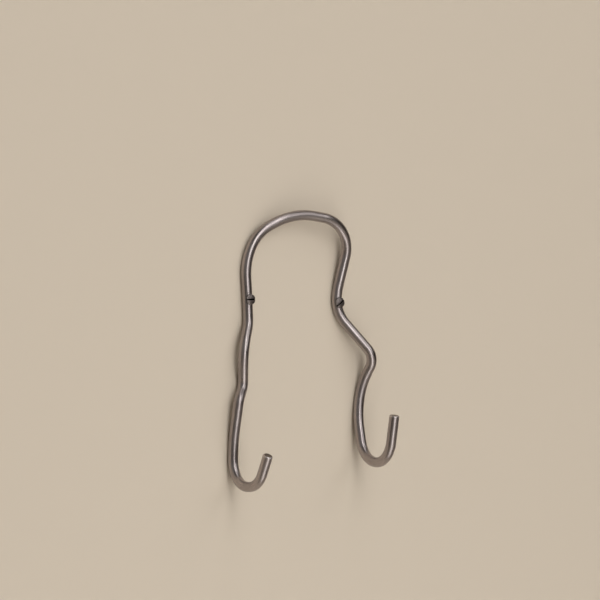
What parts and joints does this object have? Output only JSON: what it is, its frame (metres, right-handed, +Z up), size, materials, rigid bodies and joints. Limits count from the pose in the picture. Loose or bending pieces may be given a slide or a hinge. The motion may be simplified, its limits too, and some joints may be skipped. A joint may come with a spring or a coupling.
{
  "type": "double wall hook",
  "caption": "Round steel rod bent into an irregular arch with wavy legs that end in upturned hooks, fixed flat to a wall by slotted screws through the legs, for hanging coats, towels or bags.",
  "frame": {"origin": "on the wall plane, midway between the axes of the two screws", "axes": "+Z up the wall, +Y into the wall along the screws, +X to the right as seen from the room; the hooks stand out towards -Y"},
  "size_m": [0.0999, 0.0665, 0.1647],
  "materials": {
    "rod_steel": "drawn satin",
    "screw_steel": "plain turned"
  },
  "bodies": {
    "root": {"bent_rod": "rod_steel", "wall_screws": "screw_steel"}
  },
  "joints": []
}
